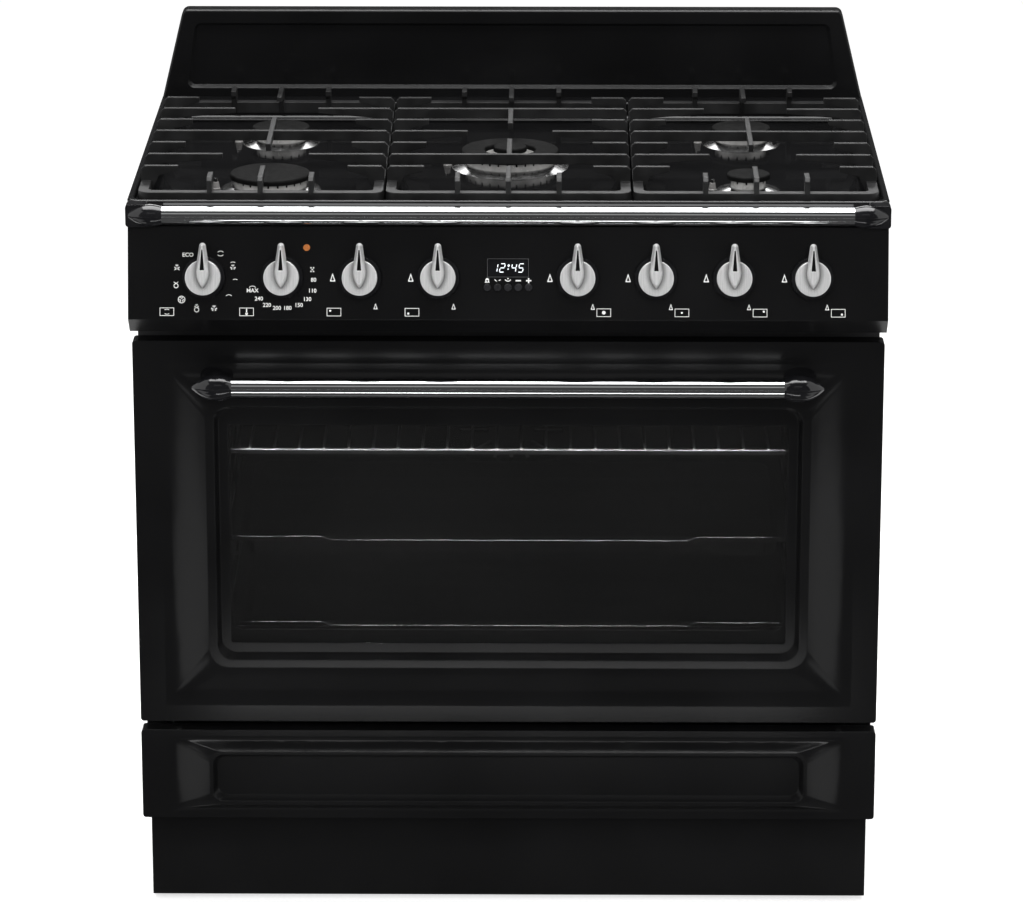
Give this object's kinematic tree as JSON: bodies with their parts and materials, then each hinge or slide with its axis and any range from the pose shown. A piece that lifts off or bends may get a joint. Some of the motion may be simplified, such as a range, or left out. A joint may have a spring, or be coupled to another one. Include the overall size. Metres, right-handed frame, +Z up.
{
  "type": "gas cooker",
  "caption": "Free-standing wide dual-fuel cooker: gas hob under cast supports, sloping knob fascia, glazed drop-down oven door, storage flap below and a low backsplash.",
  "frame": {"origin": "on the floor under the middle of the cooker's overall box", "axes": "+X to the right as seen from the front, -Y to the front, +Z up"},
  "size_m": [0.9, 0.6442, 1.013],
  "materials": {
    "black_enamel": "gloss vitreous enamel, near black",
    "oven_enamel": "dark speckled easy-clean enamel",
    "zinc_sheet": "bare zinc-coated sheet",
    "chrome": "polished chrome plate",
    "satin_chrome": "satin face, turned",
    "wire_chrome": "bright plated wire",
    "window_glass": "tinted toughened glass",
    "inner_glass": "clear toughened glass",
    "cast_iron": "matt black enamelled casting",
    "burner_alloy": "cast alloy, dull",
    "burner_black": "matt black enamel",
    "tap_brass": "machined",
    "pipe_alloy": "drawn tube",
    "seal_rubber": "matt silicone rubber",
    "timer_plastic": "smoked lens and black case",
    "button_metal": "dark moulded caps",
    "black_gloss": "deep gloss black plate",
    "printed_ink": "white ceramic ink",
    "lamp_lens": "amber lens",
    "heater_rod": "oxidised steel sheath",
    "spindle_steel": "ground",
    "foot_steel": "plated"
  },
  "bodies": {
    "cabinet": {"base_tray": "zinc_sheet", "levelling_feet": "foot_steel", "plinth": "black_enamel", "storage_box": "zinc_sheet", "side_panel_left": "black_enamel", "side_panel_right": "black_enamel", "rear_panel": "zinc_sheet", "oven_cavity": "oven_enamel", "door_seal": "seal_rubber", "door_hinge_arms": "spindle_steel", "control_fascia": "black_enamel", "knob_bezels": "black_gloss", "timer_module": "timer_plastic", "indicator_lamp": "lamp_lens", "taps_and_switches": "tap_brass", "gas_pipework": "pipe_alloy", "hob_top": "black_enamel", "backsplash": "black_enamel", "front_rail": "chrome", "rail_end_caps": "black_gloss", "burner_cups": "burner_alloy", "burner_crowns": "burner_alloy", "burner_caps": "burner_black", "side_racks": "wire_chrome", "wire_shelf": "wire_chrome", "baking_trays": "oven_enamel", "grill_element": "heater_rod", "fan_cover": "oven_enamel", "fan_motor": "zinc_sheet"},
    "oven_door": {"door_panel": "black_enamel", "door_outer_glass": "window_glass", "door_liner": "oven_enamel", "door_inner_glass": "inner_glass", "door_handle": "chrome", "handle_end_caps": "black_gloss"},
    "storage_flap_body": {"storage_flap": "black_enamel"},
    "tap_rear_left": {"spindle_rear_left": "spindle_steel"},
    "grip_rear_left": {"knob_rear_left": "satin_chrome"},
    "tap_front_left": {"spindle_front_left": "spindle_steel"},
    "grip_front_left": {"knob_front_left": "satin_chrome"},
    "tap_centre_ring": {"spindle_centre_ring": "spindle_steel"},
    "grip_centre_ring": {"knob_centre_ring": "satin_chrome"},
    "tap_centre_core": {"spindle_centre_core": "spindle_steel"},
    "grip_centre_core": {"knob_centre_core": "satin_chrome"},
    "tap_rear_right": {"spindle_rear_right": "spindle_steel"},
    "grip_rear_right": {"knob_rear_right": "satin_chrome"},
    "tap_front_right": {"spindle_front_right": "spindle_steel"},
    "grip_front_right": {"knob_front_right": "satin_chrome"},
    "grip_oven_selector": {"knob_oven_selector": "satin_chrome"},
    "grip_oven_thermostat": {"knob_oven_thermostat": "satin_chrome"},
    "button_bell_body": {"button_bell": "button_metal"},
    "button_duration_body": {"button_duration": "button_metal"},
    "button_end_time_body": {"button_end_time": "button_metal"},
    "button_minus_body": {"button_minus": "button_metal"},
    "button_plus_body": {"button_plus": "button_metal"},
    "pan_support_left_body": {"pan_support_left": "cast_iron"},
    "pan_support_centre_body": {"pan_support_centre": "cast_iron"},
    "pan_support_right_body": {"pan_support_right": "cast_iron"},
    "fan_wheel": {"oven_fan": "zinc_sheet"}
  },
  "joints": [
    {"name": "oven_door_hinge", "type": "hinge", "parent": "cabinet", "child": "oven_door", "pos_m": [0, -0.23595, 0.2605], "axis": [1, 0, 0], "range_deg": [0, 90]},
    {"name": "storage_flap_hinge", "type": "hinge", "parent": "cabinet", "child": "storage_flap_body", "pos_m": [0, -0.23595, 0.135], "axis": [1, 0, 0], "range_deg": [0, 90]},
    {"name": "tap_rear_left_turn", "type": "hinge", "parent": "cabinet", "child": "tap_rear_left", "pos_m": [-0.174, -0.27857, 0.81369], "axis": [0, -0.9738, 0.2275], "range_deg": [0, 210]},
    {"name": "knob_rear_left_push", "type": "slide", "parent": "tap_rear_left", "child": "grip_rear_left", "axis": [0, 0.9738, -0.2275], "range_m": [0, 0.0035], "stiffness_N_per_m": 1500},
    {"name": "tap_front_left_turn", "type": "hinge", "parent": "cabinet", "child": "tap_front_left", "pos_m": [-0.082, -0.27857, 0.81369], "axis": [0, -0.9738, 0.2275], "range_deg": [0, 210]},
    {"name": "knob_front_left_push", "type": "slide", "parent": "tap_front_left", "child": "grip_front_left", "axis": [0, 0.9738, -0.2275], "range_m": [0, 0.0035], "stiffness_N_per_m": 1500},
    {"name": "tap_centre_ring_turn", "type": "hinge", "parent": "cabinet", "child": "tap_centre_ring", "pos_m": [0.082, -0.27857, 0.81369], "axis": [0, -0.9738, 0.2275], "range_deg": [0, 210]},
    {"name": "knob_centre_ring_push", "type": "slide", "parent": "tap_centre_ring", "child": "grip_centre_ring", "axis": [0, 0.9738, -0.2275], "range_m": [0, 0.0035], "stiffness_N_per_m": 1500},
    {"name": "tap_centre_core_turn", "type": "hinge", "parent": "cabinet", "child": "tap_centre_core", "pos_m": [0.174, -0.27857, 0.81369], "axis": [0, -0.9738, 0.2275], "range_deg": [0, 210]},
    {"name": "knob_centre_core_push", "type": "slide", "parent": "tap_centre_core", "child": "grip_centre_core", "axis": [0, 0.9738, -0.2275], "range_m": [0, 0.0035], "stiffness_N_per_m": 1500},
    {"name": "tap_rear_right_turn", "type": "hinge", "parent": "cabinet", "child": "tap_rear_right", "pos_m": [0.266, -0.27857, 0.81369], "axis": [0, -0.9738, 0.2275], "range_deg": [0, 210]},
    {"name": "knob_rear_right_push", "type": "slide", "parent": "tap_rear_right", "child": "grip_rear_right", "axis": [0, 0.9738, -0.2275], "range_m": [0, 0.0035], "stiffness_N_per_m": 1500},
    {"name": "tap_front_right_turn", "type": "hinge", "parent": "cabinet", "child": "tap_front_right", "pos_m": [0.358, -0.27857, 0.81369], "axis": [0, -0.9738, 0.2275], "range_deg": [0, 210]},
    {"name": "knob_front_right_push", "type": "slide", "parent": "tap_front_right", "child": "grip_front_right", "axis": [0, 0.9738, -0.2275], "range_m": [0, 0.0035], "stiffness_N_per_m": 1500},
    {"name": "knob_oven_selector_turn", "type": "hinge", "parent": "cabinet", "child": "grip_oven_selector", "pos_m": [-0.358, -0.27857, 0.81369], "axis": [0, -0.9738, 0.2275], "continuous": true},
    {"name": "knob_oven_thermostat_turn", "type": "hinge", "parent": "cabinet", "child": "grip_oven_thermostat", "pos_m": [-0.266, -0.27857, 0.81369], "axis": [0, -0.9738, 0.2275], "range_deg": [-255, 0]},
    {"name": "button_bell_push", "type": "slide", "parent": "cabinet", "child": "button_bell_body", "axis": [0, 0.9738, -0.2275], "range_m": [0, 0.001], "stiffness_N_per_m": 800},
    {"name": "button_duration_push", "type": "slide", "parent": "cabinet", "child": "button_duration_body", "axis": [0, 0.9738, -0.2275], "range_m": [0, 0.001], "stiffness_N_per_m": 800},
    {"name": "button_end_time_push", "type": "slide", "parent": "cabinet", "child": "button_end_time_body", "axis": [0, 0.9738, -0.2275], "range_m": [0, 0.001], "stiffness_N_per_m": 800},
    {"name": "button_minus_push", "type": "slide", "parent": "cabinet", "child": "button_minus_body", "axis": [0, 0.9738, -0.2275], "range_m": [0, 0.001], "stiffness_N_per_m": 800},
    {"name": "button_plus_push", "type": "slide", "parent": "cabinet", "child": "button_plus_body", "axis": [0, 0.9738, -0.2275], "range_m": [0, 0.001], "stiffness_N_per_m": 800},
    {"name": "pan_support_left_lift", "type": "slide", "parent": "cabinet", "child": "pan_support_left_body", "axis": [0, 0, 1], "range_m": [0, 0.08]},
    {"name": "pan_support_centre_lift", "type": "slide", "parent": "cabinet", "child": "pan_support_centre_body", "axis": [0, 0, 1], "range_m": [0, 0.08]},
    {"name": "pan_support_right_lift", "type": "slide", "parent": "cabinet", "child": "pan_support_right_body", "axis": [0, 0, 1], "range_m": [0, 0.08]},
    {"name": "oven_fan_spin", "type": "hinge", "parent": "cabinet", "child": "fan_wheel", "pos_m": [0, 0.21705, 0.4885], "axis": [0, 1, 0], "continuous": true}
  ]
}
